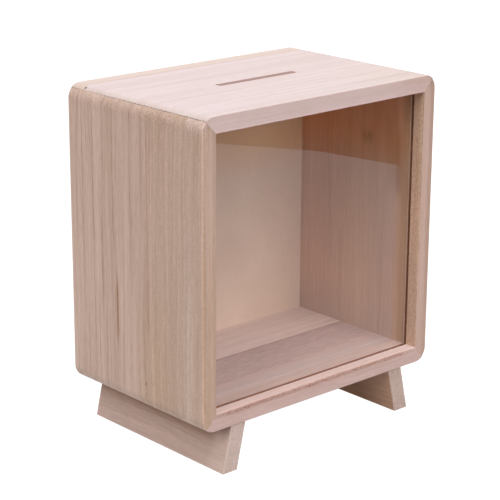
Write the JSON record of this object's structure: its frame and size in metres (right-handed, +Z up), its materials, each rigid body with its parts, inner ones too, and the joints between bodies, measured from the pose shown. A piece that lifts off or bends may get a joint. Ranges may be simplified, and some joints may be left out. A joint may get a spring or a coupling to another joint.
{
  "type": "money box",
  "caption": "Wooden money box: mitred board box on two splayed feet, with a clear front pane, a coin slot in the top and a pull-out plug in the back panel.",
  "frame": {"origin": "on the ground, below the middle of the box", "axes": "+Z up, -Y to the front (the clear pane), +X to the right as seen from the front"},
  "size_m": [0.15, 0.0976, 0.1715],
  "materials": {
    "paulownia": "raw, sanded",
    "panel": "smooth, raw",
    "clear_acrylic": "clear, polished",
    "rubber": "matte",
    "pin_steel": "bright"
  },
  "bodies": {
    "box": {"top_board": "paulownia", "bottom_board": "paulownia", "left_side": "paulownia", "right_side": "paulownia", "front_pane": "clear_acrylic", "back_panel": "panel", "left_foot": "paulownia", "right_foot": "paulownia", "top_left_pins": "pin_steel", "top_right_pins": "pin_steel", "bottom_left_pins": "pin_steel", "bottom_right_pins": "pin_steel", "left_foot_pins": "pin_steel", "right_foot_pins": "pin_steel"},
    "plug": {"outlet_plug": "rubber"}
  },
  "joints": [
    {"name": "plug_pull", "type": "slide", "parent": "box", "child": "plug", "axis": [0, 1, 0], "range_m": [0, 0.03]}
  ]
}
